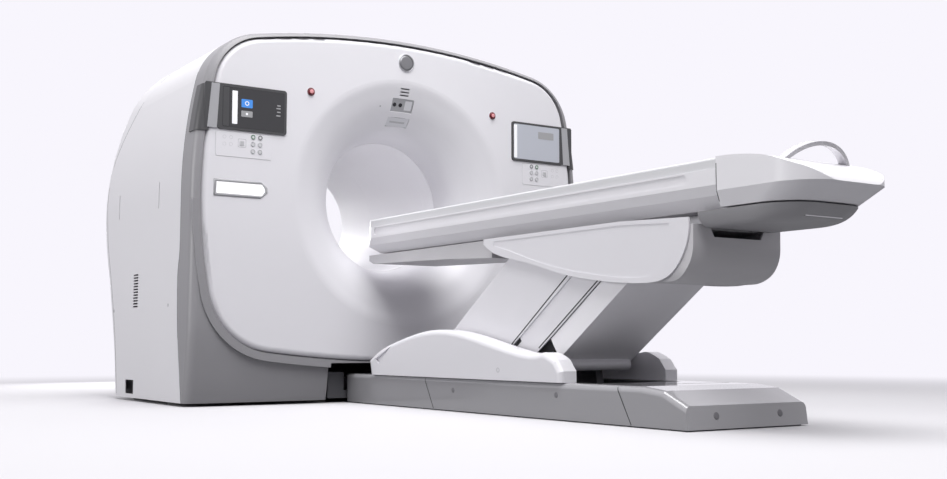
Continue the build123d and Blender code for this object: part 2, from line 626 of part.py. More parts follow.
cradle_top = (plate(board, foot_y, head_y - 6) & slab(head, -300, 300)) & (Pos(0, -3, 0) * plan)
pod = Spline((foot_y - seam, 928), (-2920, 921), (-3040, 898), (-3110, 872), (-3170, 842),
             (pod_end_y, 808), tangents=((-1, 0), (-0.6, -1)))
pod = make_face(pod + Polyline((pod_end_y, 808), (pod_end_y, beam_low), (foot_y - seam, beam_low),
                               (foot_y - seam, 928)))
low_plan = pod_plan(beam_low, pod_low_half, pod_low_end_y, 140, foot_y - seam)
wide_plan = pod_plan(812, beam_half, pod_end_y, 150, foot_y - seam)
pod_form = loft([low_plan, wide_plan], ruled=True) + extrude(wide_plan, amount=150)
foot_pod = pod_form & slab(pod, -300, 300)
lid = Pos(0, (-2960 + pod_end_y) / 2) * Rectangle(300, -2960 - pod_end_y)
groove = Pos(0, 0, 780) * extrude(offset(lid, 2) - lid, amount=200)
foot_pod -= groove - Pos(0, 0, -4) * foot_pod
handle_path = ThreePointArc((-165, -3017, 885), (0, -3060, 958), (165, -3017, 885))
handle = sweep(Plane(origin=handle_path @ 0, z_dir=handle_path % 0) * Rectangle(14, 34),
               path=handle_path)
handle -= foot_pod

nodes = {
    "front_cover": front_cover, "front_frame": front_frame, "side_cover_left": side_cover_left,
    "side_cover_right": side_cover_right, "rear_cover": rear_cover, "scan_window": scan_window,
    "bore_liner": bore_liner, "rear_liner": rear_liner, "gantry_frame": gantry_frame,
    "detector_ring": detector_ring, "display_housing_left": display_left,
    "display_housing_right": mirrored(display_left), "display_screen_left": screen_left,
    "display_screen_right": mirrored(screen_left), "keypad_panel_left": keypad_left,
    "keypad_panel_right": mirrored(keypad_left), "status_light_left": light_left,
    "status_light_right": mirrored(light_left), "sensor_window": sensor_at * sensor_window,
    "laser_window": laser_at * laser_window, "rotor_drum": rotor, "xray_tube": xray_tube,
    "detector_arc": detector_arc, "hv_generator": generator, "estop_button_left": stop_left,
    "estop_button_right": mirrored(stop_left), "base_chassis": chassis,
    "base_cover_front": base_covers[0], "base_cover_middle": base_covers[1],
    "base_cover_foot": base_covers[2], "leg_fairing_right": foot_fairing,
    "leg_fairing_left": mirrored(foot_fairing), "leg_arm_front": leg_arm_front,
    "leg_arm_rear": leg_arm_rear, "leg_cover_front": leg_cover_front,
    "leg_cover_middle": leg_cover_middle, "leg_cover_rear": leg_cover_rear,
    "lift_housing": lift_housing, "housing_fairing_right": side_fairing,
    "housing_fairing_left": mirrored(side_fairing), "support_rail": support_rail,
    "under_pod": under_pod, "cradle_beam": cradle_beam, "cradle_top": cradle_top,
    "foot_pod": foot_pod, "handle": handle,
}
for name, solid in keys_left.items():
    nodes[name + "_left"] = solid
    nodes[name + "_right"] = mirrored(solid)

os.makedirs("parts", exist_ok=True)
for name, solid in nodes.items():
    export_step(solid, f"parts/{name}.step")
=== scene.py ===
import bpy, bmesh, math
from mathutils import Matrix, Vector
from mathutils.bvhtree import BVHTree


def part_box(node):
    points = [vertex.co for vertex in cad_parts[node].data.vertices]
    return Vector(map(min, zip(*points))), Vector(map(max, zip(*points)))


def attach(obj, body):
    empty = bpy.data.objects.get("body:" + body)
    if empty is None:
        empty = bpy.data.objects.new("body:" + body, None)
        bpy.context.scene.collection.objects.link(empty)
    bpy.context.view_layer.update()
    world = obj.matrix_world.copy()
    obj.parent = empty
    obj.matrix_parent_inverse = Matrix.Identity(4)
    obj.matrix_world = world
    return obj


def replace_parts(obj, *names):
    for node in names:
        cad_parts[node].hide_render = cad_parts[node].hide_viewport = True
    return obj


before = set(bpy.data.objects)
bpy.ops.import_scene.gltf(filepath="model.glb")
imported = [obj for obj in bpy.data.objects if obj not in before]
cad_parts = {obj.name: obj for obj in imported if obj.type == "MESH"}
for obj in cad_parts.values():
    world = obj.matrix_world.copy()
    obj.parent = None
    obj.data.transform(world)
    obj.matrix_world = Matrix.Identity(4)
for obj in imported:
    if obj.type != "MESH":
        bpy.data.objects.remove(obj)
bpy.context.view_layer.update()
print("frame loaded:", len(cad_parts), "nodes")

# camera at the photograph's angle
cameraSettings = {"place": (-3.0831, -5.5775, 0.2944), "yaw": 33.87, "pitch": 5.146, "lens": 44.153}
cameraData = bpy.data.cameras.new("camera")
cameraData.sensor_width = 36
cameraData.lens = cameraSettings["lens"]
camera = bpy.data.objects.new("camera", cameraData)
camera.location = cameraSettings["place"]
camera.rotation_euler = (math.radians(90 + cameraSettings["pitch"]), 0, math.radians(-cameraSettings["yaw"]))
bpy.context.scene.collection.objects.link(camera)
bpy.context.scene.camera = camera
bpy.context.scene.view_settings.view_transform = "Standard"


# materials

def newGroup(name, inputs, outputs):
    # an empty shader group with named inputs (name, kind, value) and outputs (name, kind)
    group = bpy.data.node_groups.new(name, "ShaderNodeTree")
    for label, kind, value in inputs:
        item = group.interface.new_socket(name=label, in_out="INPUT", socket_type=kind)
        item.default_value = value
    for label, kind in outputs:
        group.interface.new_socket(name=label, in_out="OUTPUT", socket_type=kind)
    start = group.nodes.new("NodeGroupInput")
    end = group.nodes.new("NodeGroupOutput")
    return group, start, end


def mouldedSkin():
    # the fine orange-peel of moulded and sprayed covers, with a slight drift in tone
    group, start, end = newGroup("mouldedSkin", [
        ("Color", "NodeSocketColor", (0.8, 0.8, 0.8, 1)), ("Grain Scale", "NodeSocketFloat", 900.0),
        ("Grain Depth", "NodeSocketFloat", 0.02), ("Tone Drift", "NodeSocketFloat", 0.02),
        ("Roughness", "NodeSocketFloat", 0.4), ("Roughness Drift", "NodeSocketFloat", 0.05)],
        [("Color", "NodeSocketColor"), ("Roughness", "NodeSocketFloat"), ("Normal", "NodeSocketVector")])
    nodes, links = group.nodes, group.links
    where = nodes.new("ShaderNodeTexCoord")
    fine = nodes.new("ShaderNodeTexNoise")
    fine.inputs["Detail"].default_value = 2
    links.new(where.outputs["Object"], fine.inputs["Vector"])
    links.new(start.outputs["Grain Scale"], fine.inputs["Scale"])
    broad = nodes.new("ShaderNodeTexNoise")
    broad.inputs["Scale"].default_value = 2.3
    broad.inputs["Detail"].default_value = 3
    links.new(where.outputs["Object"], broad.inputs["Vector"])
    bump = nodes.new("ShaderNodeBump")
    bump.inputs["Distance"].default_value = 0.0004
    links.new(fine.outputs["Fac"], bump.inputs["Height"])
    links.new(start.outputs["Grain Depth"], bump.inputs["Strength"])
    links.new(bump.outputs["Normal"], end.inputs["Normal"])
    centre = nodes.new("ShaderNodeMath")
    centre.operation = "SUBTRACT"
    centre.inputs[1].default_value = 0.5
    links.new(broad.outputs["Fac"], centre.inputs[0])
    tone = nodes.new("ShaderNodeMath")
    tone.operation = "MULTIPLY_ADD"
    tone.inputs[2].default_value = 1.0
    links.new(centre.outputs[0], tone.inputs[0])
    links.new(start.outputs["Tone Drift"], tone.inputs[1])
    scale = nodes.new("ShaderNodeVectorMath")
    scale.operation = "SCALE"
    links.new(start.outputs["Color"], scale.inputs[0])
    links.new(tone.outputs[0], scale.inputs["Scale"])
    links.new(scale.outputs[0], end.inputs["Color"])
    rough = nodes.new("ShaderNodeMath")
    rough.operation = "MULTIPLY_ADD"
    links.new(centre.outputs[0], rough.inputs[0])
    links.new(start.outputs["Roughness Drift"], rough.inputs[1])
    links.new(start.outputs["Roughness"], rough.inputs[2])
    links.new(rough.outputs[0], end.inputs["Roughness"])
    return group


mouldedSkinGroup = mouldedSkin()


def coverMaterial(name, color, roughness, grain=900.0, depth=0.02, drift=0.03, metal=0.0, coat=0.0):
    material = bpy.data.materials.new(name)
    material.use_nodes = True
    nodes, links = material.node_tree.nodes, material.node_tree.links
    shader = nodes["Principled BSDF"]
    skin = nodes.new("ShaderNodeGroup")
    skin.node_tree = mouldedSkinGroup
    skin.inputs["Color"].default_value = (*color, 1)
    skin.inputs["Grain Scale"].default_value = grain
    skin.inputs["Grain Depth"].default_value = depth
    skin.inputs["Tone Drift"].default_value = drift
    skin.inputs["Roughness"].default_value = roughness
    links.new(skin.outputs["Color"], shader.inputs["Base Color"])
    links.new(skin.outputs["Roughness"], shader.inputs["Roughness"])
    links.new(skin.outputs["Normal"], shader.inputs["Normal"])
    shader.inputs["Metallic"].default_value = metal
    shader.inputs["Coat Weight"].default_value = coat
    return material


def glowMaterial(name, color, strength):
    material = bpy.data.materials.new(name)
    material.use_nodes = True
    shader = material.node_tree.nodes["Principled BSDF"]
    shader.inputs["Base Color"].default_value = (*color, 1)
    shader.inputs["Emission Color"].default_value = (*color, 1)
    shader.inputs["Emission Strength"].default_value = strength
    shader.inputs["Roughness"].default_value = 0.4
    return material


finish = {
    "coverWhite": coverMaterial("coverWhite", (0.80, 0.79, 0.825), 0.36),
    "sideWhite": coverMaterial("sideWhite", (0.82, 0.81, 0.84), 0.42),
    "trimGrey": coverMaterial("trimGrey", (0.29, 0.285, 0.30), 0.4),
    "baseGrey": coverMaterial("baseGrey", (0.36, 0.355, 0.372), 0.2, grain=600, depth=0.05, coat=0.9),
    # painted light: the rear leg cover is white like the other leg covers, set lighter than them to lift its
    # shaded foot-end face
    "legWhitePaintedLight": coverMaterial("legWhitePaintedLight", (0.90, 0.89, 0.92), 0.42),
    "boreWhite": coverMaterial("boreWhite", (0.92, 0.91, 0.94), 0.3),
    "darkTrim": coverMaterial("darkTrim", (0.055, 0.055, 0.058), 0.38),
    "cradleWhite": coverMaterial("cradleWhite", (0.82, 0.81, 0.84), 0.4),
    # painted shade: the lift housing is white, darkened here for the shadow the pod casts on it from above
    "housingWhitePaintedShade": coverMaterial("housingWhitePaintedShade", (0.60, 0.59, 0.61), 0.42),
    # the under pod is grey plastic, made darker still as painted shade beneath the pod
    "underGreyAndPaintedShade": coverMaterial("underGreyAndPaintedShade", (0.36, 0.355, 0.37), 0.45),
    "boardGrey": coverMaterial("boardGrey", (0.70, 0.70, 0.72), 0.5),
    "steelPaint": coverMaterial("steelPaint", (0.10, 0.10, 0.11), 0.55, grain=300),
    "railSteel": coverMaterial("railSteel", (0.45, 0.45, 0.46), 0.35, metal=1.0),
    "castAluminium": coverMaterial("castAluminium", (0.5, 0.5, 0.52), 0.5, grain=250, depth=0.1, metal=0.8),
    "screenGlass": coverMaterial("screenGlass", (0.035, 0.035, 0.038), 0.14, depth=0.0),
    "paleScreen": coverMaterial("paleScreen", (0.52, 0.54, 0.60), 0.15, depth=0.0),
    "windowGrey": coverMaterial("windowGrey", (0.42, 0.42, 0.44), 0.2, depth=0.0),
    "windowPale": coverMaterial("windowPale", (0.74, 0.74, 0.77), 0.2, depth=0.0),
    "lensDark": coverMaterial("lensDark", (0.03, 0.03, 0.035), 0.1, depth=0.0),
    "stopRed": coverMaterial("stopRed", (0.17, 0.012, 0.018), 0.32),
    # painted highlight: a pale pink for the lit top of the red stop button
    "stopPaintedHighlight": coverMaterial("stopPaintedHighlight", (0.80, 0.36, 0.38), 0.35),
    "keyGrey": coverMaterial("keyGrey", (0.66, 0.66, 0.68), 0.5),
    "inkGrey": coverMaterial("inkGrey", (0.09, 0.09, 0.10), 0.5, depth=0.0),
    "inkPale": coverMaterial("inkPale", (0.50, 0.50, 0.52), 0.5, depth=0.0),
    "inkGreen": coverMaterial("inkGreen", (0.03, 0.16, 0.06), 0.5, depth=0.0),
    # painted shade: near-black for the shadow inside seams and under the lips of sliding covers
    "paintedSeamShade": coverMaterial("paintedSeamShade", (0.035, 0.035, 0.038), 0.7),
    "satinMetal": coverMaterial("satinMetal", (0.42, 0.42, 0.44), 0.3, grain=1500, metal=0.9),
    "badgeGrey": coverMaterial("badgeGrey", (0.22, 0.22, 0.23), 0.3, grain=1500, metal=0.5),
    "plugGrey": coverMaterial("plugGrey", (0.20, 0.195, 0.21), 0.45),
    "lampFrame": coverMaterial("lampFrame", (0.40, 0.40, 0.42), 0.3),
    "handleGrey": coverMaterial("handleGrey", (0.62, 0.61, 0.64), 0.22, metal=0.1),
    "lampWhite": glowMaterial("lampWhite", (1.0, 1.0, 1.0), 0.35),
    "screenWhite": glowMaterial("screenWhite", (0.85, 0.85, 0.87), 0.25),
    "screenBlue": glowMaterial("screenBlue", (0.05, 0.22, 0.62), 0.35),
    "screenGrey": glowMaterial("screenGrey", (0.30, 0.30, 0.31), 0.2),
}

nodeFinish = {
    "coverWhite": ["front_cover", "keypad_panel_left", "keypad_panel_right", "leg_fairing_left",
                   "leg_fairing_right", "leg_cover_front", "leg_cover_middle",
                   "housing_fairing_left", "housing_fairing_right"],
    "sideWhite": ["side_cover_left", "side_cover_right", "rear_cover"],
    "trimGrey": ["front_frame"],
    "baseGrey": ["base_cover_front", "base_cover_middle", "base_cover_foot"],
    "legWhitePaintedLight": ["leg_cover_rear"],
    "boreWhite": ["scan_window", "bore_liner", "rear_liner"],
    "darkTrim": ["display_housing_left", "display_housing_right"],
    "windowGrey": ["sensor_window"],
    "windowPale": ["laser_window"],
    "cradleWhite": ["cradle_beam", "foot_pod"],
    "housingWhitePaintedShade": ["lift_housing"],
    "underGreyAndPaintedShade": ["under_pod"],
    "boardGrey": ["cradle_top"],
    "steelPaint": ["gantry_frame", "base_chassis", "leg_arm_front", "leg_arm_rear", "rotor_drum"],
    "railSteel": ["support_rail"],
    "castAluminium": ["detector_ring", "detector_arc", "xray_tube", "hv_generator"],
    "screenGlass": ["display_screen_left"],
    "paleScreen": ["display_screen_right"],
    "stopRed": ["estop_button_left", "estop_button_right"],
    "handleGrey": ["handle"],
    "lampWhite": ["status_light_left", "status_light_right"],
}
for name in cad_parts:
    if name.startswith("key_"):
        nodeFinish.setdefault("keyGrey", []).append(name)
for finishName, names in nodeFinish.items():
    for name in names:
        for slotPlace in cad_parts[name].material_slots:
            slotPlace.material = finish[finishName]
print("materials set")


# tools for the added pieces

sides = (("left", -1), ("right", 1))
intoFront, down = (0, 1, 0), (0, 0, -1)


def nodeTree(*names):
    # one search tree over the faces of several CAD nodes
    points, faces = [], []
    for name in names:
        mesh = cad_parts[name].data
        first = len(points)
        points += [v.co.copy() for v in mesh.vertices]
        faces += [[first + i for i in p.vertices] for p in mesh.polygons]
    return BVHTree.FromPolygons(points, faces)


def surfaceAt(tree, start, direction):
    # where a ray meets the surface, and the normal on the side that it comes from
    place, normal = tree.ray_cast(Vector(start), Vector(direction))[:2]
    if place is None:
        return None, None
    return place, (normal if normal.dot(Vector(direction)) < 0 else -normal)


def addPiece(name, points, faces, finishName, body, smooth=False):
    mesh = bpy.data.meshes.new(name)
    mesh.from_pydata([tuple(p) for p in points], [], faces)
    shape = bmesh.new()
    shape.from_mesh(mesh)
    bmesh.ops.recalc_face_normals(shape, faces=shape.faces)
    shape.to_mesh(mesh)
    shape.free()
    for polygon in mesh.polygons:
        polygon.use_smooth = smooth
    mesh.materials.append(finish[finishName])
    piece = bpy.data.objects.new(name, mesh)
    bpy.context.scene.collection.objects.link(piece)
    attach(piece, body)
    return piece


def roundedRectangle(left, right, low, high, radius, steps=6):
    corners = ((right - radius, high - radius, 0), (left + radius, high - radius, 90),
               (left + radius, low + radius, 180), (right - radius, low + radius, 270))
    return [(x + radius * math.cos(math.radians(start + 90 * i / steps)),
             z + radius * math.sin(math.radians(start + 90 * i / steps)))
            for x, z, start in corners for i in range(steps + 1)]


def roundedSquare(x, z, half, radius):
    return roundedRectangle(x - half, x + half, z - half, z + half, radius)


def circleOutline(x, z, radius, steps=32):
    return [(x + radius * math.cos(2 * math.pi * i / steps),
             z + radius * math.sin(2 * math.pi * i / steps)) for i in range(steps)]


def facePlate(name, outline, y, thick, finishName, body):
    # a flat plate on the front, drawn in X and Z, from y forward to y - thick
    n = len(outline)
    points = [(x, y, z) for x, z in outline] + [(x, y - thick, z) for x, z in outline]
    faces = [list(range(n)), list(range(2 * n - 1, n - 1, -1))]
    faces += [(i, (i + 1) % n, n + (i + 1) % n, n + i) for i in range(n)]
    return addPiece(name, points, faces, finishName, body)


def faceRing(name, outer, inner, y, thick, finishName, body, crown=0.0):
    # a frame between two outlines of equal count, its front edge crowned
    n = len(outer)
    mid = [((a[0] + b[0]) / 2, (a[1] + b[1]) / 2) for a, b in zip(outer, inner)]
    rows = [[(x, y, z) for x, z in outer], [(x, y - thick, z) for x, z in outer],
            [(x, y - thick - crown, z) for x, z in mid], [(x, y - thick, z) for x, z in inner],
            [(x, y, z) for x, z in inner]]
    count = len(rows)
    points = [p for row in rows for p in row]
    faces = [(r * n + i, r * n + (i + 1) % n, (r + 1) % count * n + (i + 1) % n, (r + 1) % count * n + i)
             for r in range(count) for i in range(n)]
    return addPiece(name, points, faces, finishName, body, smooth=crown > 0)


def turnedButton(name, centre, normal, profile, finishName, body, steps=28):
    # a small turned form: profile is (radius, height above the surface) from the outside in
    axis = Vector(normal).normalized()
    across = axis.orthogonal().normalized()
    other = axis.cross(across)
    points, faces = [], []
    for radius, height in profile:
        for i in range(steps):
            t = 2 * math.pi * i / steps
            points.append(Vector(centre) + axis * height + (across * math.cos(t) + other * math.sin(t)) * radius)
    for r in range(len(profile) - 1):
        faces += [(r * steps + i, r * steps + (i + 1) % steps, (r + 1) * steps + (i + 1) % steps,
                   (r + 1) * steps + i) for i in range(steps)]
    faces.append(list(range((len(profile) - 1) * steps, len(profile) * steps)))
    return addPiece(name, points, faces, finishName, body, smooth=True)


def seamStrip(name, tree, starts, direction, width, body, lift=0.0003, sunk=0.001):
    # a narrow dark strip of painted shade on the surface that rays from the given points meet
    hits = [hit for hit in (surfaceAt(tree, start, direction) for start in starts) if hit[0] is not None]
    last = len(hits) - 1
    points, faces = [], []
    for i, (place, normal) in enumerate(hits):
        along = hits[min(i + 1, last)][0] - hits[max(i - 1, 0)][0]
        side = normal.cross(along).normalized() * width / 2
        top, foot = normal * lift, normal * sunk
        points += [place - side - foot, place - side + top, place + side + top, place + side - foot]
    for i in range(last):
        faces += [(4 * i + k, 4 * i + (k + 1) % 4, 4 * i + 4 + (k + 1) % 4, 4 * i + 4 + k) for k in range(4)]
    faces += [(3, 2, 1, 0), tuple(4 * last + k for k in range(4))]
    return addPiece(name, points, faces, "paintedSeamShade", body)


def bend(points, steps):
    # a smooth line through the points (Catmull-Rom)
    line = []
    for i in range(len(points) - 1):
        p0, p1, p2, p3 = (points[max(i - 1, 0)], points[i], points[i + 1], points[min(i + 2, len(points) - 1)])
        for k in range(steps):
            t = k / steps
            line.append(tuple(0.5 * (2 * b + (c - a) * t + (2 * a - 5 * b + 4 * c - d) * t * t
                                     + (3 * b - a - 3 * c + d) * t ** 3) for a, b, c, d in zip(p0, p1, p2, p3)))
    return line + [tuple(points[-1])]


# screens: a generic picture on each; a bar is (name, left, right, low, high, corner, finish)
screenSettings = {
    "y": -0.3496, "thick": 0.0004, "markThick": 0.0003,
    "bars": (("screenMargin_left", -1.020, -0.990, 1.338, 1.528, 0.003, "darkTrim"),
             ("screenBar_left", -0.974, -0.947, 1.352, 1.514, 0.002, "screenWhite"),
             ("screenTile_left", -0.927, -0.869, 1.437, 1.478, 0.004, "screenBlue"),
             ("screenCard_left", -0.927, -0.869, 1.391, 1.421, 0.004, "screenGrey")),
    "markX": (-0.927 + -0.869) / 2, "tileZ": 1.458, "tileRing": (0.011, 0.007), "cardZ": 1.406, "cardDot": 0.006,
    "lineZ": (1.412, 1.430, 1.448, 1.462), "lineLeft": -0.744, "lineRight": -0.722, "lineHigh": 0.006,
    "lineStep": 0.004,
    "barsRight": (("screenBar_right", 0.700, 0.722, 1.340, 1.526, 0.002, "screenWhite"),
                  ("screenTile_right", 0.870, 0.980, 1.46, 1.50, 0.004, "screenGrey"))}


def screenBars(bars):
    for name, left, right, low, high, corner, finishName in bars:
        facePlate(name, roundedRectangle(left, right, low, high, corner), screenSettings["y"],
                  screenSettings["thick"], finishName, "stand")


screenBars(screenSettings["bars"])
markY, markX = screenSettings["y"] - screenSettings["thick"], screenSettings["markX"]
tileOuter, tileInner = (circleOutline(markX, screenSettings["tileZ"], r) for r in screenSettings["tileRing"])
faceRing("screenTileMark_left", tileOuter, tileInner, markY, screenSettings["markThick"], "screenWhite",
         "stand")
facePlate("screenCardMark_left", circleOutline(markX, screenSettings["cardZ"], screenSettings["cardDot"]), markY,
          screenSettings["markThick"], "screenWhite", "stand")
screenBars([(f"screenMark{i}_left", screenSettings["lineLeft"] + screenSettings["lineStep"] * (i % 2),
             screenSettings["lineRight"], z, z + screenSettings["lineHigh"], 0.001, "screenGrey")
            for i, z in enumerate(screenSettings["lineZ"])])
screenBars(screenSettings["barsRight"])

# pale band between each display and its wrapped wing
bandSettings = {"x": (1.050, 1.098), "low": 1.324, "high": 1.540, "lean": (0.012, 0.0192), "y": -0.3491,
                "thick": 0.0008}
for side, sign in sides:
    inner, outer = (sign * v for v in bandSettings["x"])
    innerLean, outerLean = (sign * v for v in bandSettings["lean"])
    outline = [(inner, bandSettings["low"]), (inner - innerLean, bandSettings["high"]),
               (outer - outerLean, bandSettings["high"]), (outer, bandSettings["low"])]
    facePlate("displayBand_" + side, outline, bandSettings["y"], bandSettings["thick"], "lampFrame",
              "stand")
print("screens made")

# keypad: a printed ring on each round key, a field on the square one, faint touch marks on the panel
keypadSettings = {"panelFront": -0.3435, "ring": (0.0108, 0.0072), "ringThick": 0.0004, "crown": 0.0003,
                  "field": (0.008, 0.002), "guide": ((0.021, 0.006), (0.019, 0.005)), "guideThick": 0.0003,
                  "touchX": (0.975, 1.008), "touchZ": (1.286, 1.252), "touch": (0.0085, 0.0075),
                  "touchThick": 0.0002}
for side, sign in sides:
    for row in "abc":
        for column in "12":
            keyName = f"key_{row}{column}_{side}"
            low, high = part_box(keyName)
            x, z = (low.x + high.x) / 2, (low.z + high.z) / 2
            ink = "inkGreen" if row + column == "a1" else "inkGrey" if row == "a" else "inkPale"
            outer, inner = (circleOutline(x, z, r) for r in keypadSettings["ring"])
            faceRing(keyName + "_ring", outer, inner, low.y, keypadSettings["ringThick"], ink, keyName,
                     crown=keypadSettings["crown"])
    low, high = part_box("key_menu_" + side)
    x, z = (low.x + high.x) / 2, (low.z + high.z) / 2
    facePlate(f"key_menu_{side}_field", roundedSquare(x, z, *keypadSettings["field"]), low.y,
              keypadSettings["ringThick"], "inkPale", "key_menu_" + side)
    outer, inner = (roundedSquare(x, z, *size) for size in keypadSettings["guide"])
    faceRing(f"keyMenuGuide_{side}", outer, inner, keypadSettings["panelFront"], keypadSettings["guideThick"],
             "inkPale", "stand")
    for i, touchX in enumerate(keypadSettings["touchX"]):
        for k, touchZ in enumerate(keypadSettings["touchZ"]):
            outer, inner = (circleOutline(sign * touchX, touchZ, r) for r in keypadSettings["touch"])
            faceRing(f"touchMark{i}{k}_{side}", outer, inner, keypadSettings["panelFront"],
                     keypadSettings["touchThick"], "inkPale", "stand")
print("keypads made")

# stop buttons: dark collar, red body from the CAD, and a pale pink centre that is a painted highlight on the dome
stopSettings = {"centre": [(0.0105, -0.0005), (0.0105, 0.0006), (0.009, 0.0012), (0.002, 0.0014)],
                "collar": (0.0205, 0.0165), "collarY": -0.345, "collarThick": 0.0012, "crown": 0.0008}
for side, sign in sides:
    buttonName = "estop_button_" + side
    low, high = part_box(buttonName)
    x, z = (low.x + high.x) / 2, (low.z + high.z) / 2
    turnedButton(buttonName + "_centre", (x, low.y, z), (0, -1, 0), stopSettings["centre"], "stopPaintedHighlight",
                 buttonName)
    outer, inner = (circleOutline(x, z, r, 40) for r in stopSettings["collar"])
    faceRing(f"stopCollar_{side}", outer, inner, stopSettings["collarY"], stopSettings["collarThick"], "stopRed",
             "stand", crown=stopSettings["crown"])

# frames round the two light bars
lampSettings = {"outer": 0.007, "inner": -0.006, "y": -0.3425, "thick": 0.0022, "crown": 0.0006,
                "end": 1.050, "low": 1.006, "high": 1.074, "chamferX": 0.814, "tip": 0.790,
                "tipZ": (1.030, 1.050), "chamferShare": 0.4}


def lampOutline(sign, grow):
    # the light bar's outline with its chamfered inner end, moved outward by grow
    end, low, high, tip = (lampSettings[key] for key in ("end", "low", "high", "tip"))
    part = grow * lampSettings["chamferShare"]
    chamferX, (tipLow, tipHigh) = lampSettings["chamferX"] + part, lampSettings["tipZ"]
    shape = [(end + grow, low - grow), (end + grow, high + grow), (chamferX, high + grow),
             (tip - grow, tipHigh + part), (tip - grow, tipLow - part), (chamferX, low - grow)]
    return [(sign * x, z) for x, z in shape]


for side, sign in sides:
    outer, inner = (lampOutline(sign, lampSettings[key]) for key in ("outer", "inner"))
    faceRing("lampFrame_" + side, outer, inner, lampSettings["y"], lampSettings["thick"], "lampFrame", "stand",
             crown=lampSettings["crown"])
print("buttons and lamps made")

# sensor and laser panes, laid along the funnel's face, with lenses and an indicator
coverTree = nodeTree("front_cover")
windowSettings = {"half": 0.0645, "margin": 0.006, "overlap": 0.001, "columns": 14, "rows": 6, "recess": 0.0025,
                  "thick": 0.005, "cardRecess": 0.0019, "cardThick": 0.001, "sideStep": 0.0003,
                  "sensor": (1.530, 1.592), "laser": (1.459, 1.4985)}


def frontAt(x, z):
    # the front cover at a point of the front, a little to the side so that no ray runs along a mesh edge
    return surfaceAt(coverTree, (x + windowSettings["sideStep"], -1, z), intoFront)


def windowPoint(x, z, low, high, recess):
    margin = windowSettings["margin"]
    below, above = frontAt(x, low - margin)[0], frontAt(x, high + margin)[0]
    t = (z - below.z) / (above.z - below.z)
    return Vector((x, below.y + (above.y - below.y) * t + recess, z))


def windowPatch(name, left, right, low, high, opening, recess, thick, finishName):
    # a pane that follows the cover between an opening's lower and upper edges
    columns, rows = windowSettings["columns"], windowSettings["rows"]
    front = [windowPoint(left + (right - left) * c / columns, low + (high - low) * r / rows, *opening, recess)
             for r in range(rows + 1) for c in range(columns + 1)]
    behind = [p + Vector((0, thick, 0)) for p in front]
    wide, n = columns + 1, len(front)
    faces = [(r * wide + c, r * wide + c + 1, (r + 1) * wide + c + 1, (r + 1) * wide + c)
             for r in range(rows) for c in range(columns)]
    faces += [tuple(n + i for i in reversed(face)) for face in faces]
    rim = (list(range(columns)) + [r * wide + columns for r in range(rows)]
           + [rows * wide + c for c in range(columns, 0, -1)] + [r * wide for r in range(rows, 0, -1)])
    faces += [(rim[i], rim[(i + 1) % len(rim)], n + rim[(i + 1) % len(rim)], n + rim[i]) for i in range(len(rim))]
    return addPiece(name, front + behind, faces, finishName, "stand")


def windowPane(name, opening, finishName):
    half, overlap = windowSettings["half"], windowSettings["overlap"]
    return windowPatch(name, -half, half, opening[0] - overlap, opening[1] + overlap, opening,
                       windowSettings["recess"], windowSettings["thick"], finishName)


sensorOpening, laserOpening = windowSettings["sensor"], windowSettings["laser"]
cardRecess, cardThick = windowSettings["cardRecess"], windowSettings["cardThick"]
# both CAD nodes lean against the funnel's slope, so a pane stands in for each
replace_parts(windowPane("sensorPane", sensorOpening, "windowGrey"), "sensor_window")
windowPatch("sensorCard", 0.016, 0.058, 1.538, 1.584, sensorOpening, cardRecess, cardThick, "windowPale")
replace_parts(windowPane("laserPane", laserOpening, "windowPale"), "laser_window")
windowPatch("laserSlot", -0.046, 0.046, 1.474, 1.482, laserOpening, cardRecess, cardThick, "inkPale")
sensorSettings = {"lenses": (-0.046, -0.010), "z": 1.561, "facing": (0, -0.9, -0.44), "indicator": (-0.134, 1.542),
                  "lens": [(0.011, -0.001), (0.011, 0.0014), (0.009, 0.002), (0.008, 0.0008), (0.002, 0.0016)],
                  "light": [(0.005, -0.001), (0.005, 0.0008), (0.003, 0.0012), (0.001, 0.0013)]}
for i, x in enumerate(sensorSettings["lenses"]):
    place = windowPoint(x, sensorSettings["z"], *sensorOpening, windowSettings["recess"])
    turnedButton(f"sensorLens{i}", place, sensorSettings["facing"], sensorSettings["lens"], "lensDark", "stand")
place, normal = frontAt(*sensorSettings["indicator"])
turnedButton("sensorIndicator", place, normal, sensorSettings["light"], "inkPale", "stand")

# plain round disc above the bore
badgeSettings = {"x": 0.0, "z": 1.781, "y": -0.346, "rim": (0.0475, 0.0425), "thick": 0.001, "crown": 0.0012,
                 "steps": 56,
                 "face": [(0.0424, -0.0002), (0.0424, 0.0005), (0.03, 0.0011), (0.01, 0.0015), (0.002, 0.0015)]}
badgeX, badgeY, badgeZ = (badgeSettings[key] for key in "xyz")
outer, inner = (circleOutline(badgeX, badgeZ, r, badgeSettings["steps"]) for r in badgeSettings["rim"])
faceRing("badgeRim", outer, inner, badgeY, badgeSettings["thick"], "satinMetal", "stand",
         crown=badgeSettings["crown"])
turnedButton("badgeFace", (badgeX, badgeY, badgeZ), (0, -1, 0), badgeSettings["face"], "badgeGrey", "stand",
             steps=badgeSettings["steps"])
print("sensor and badge made")

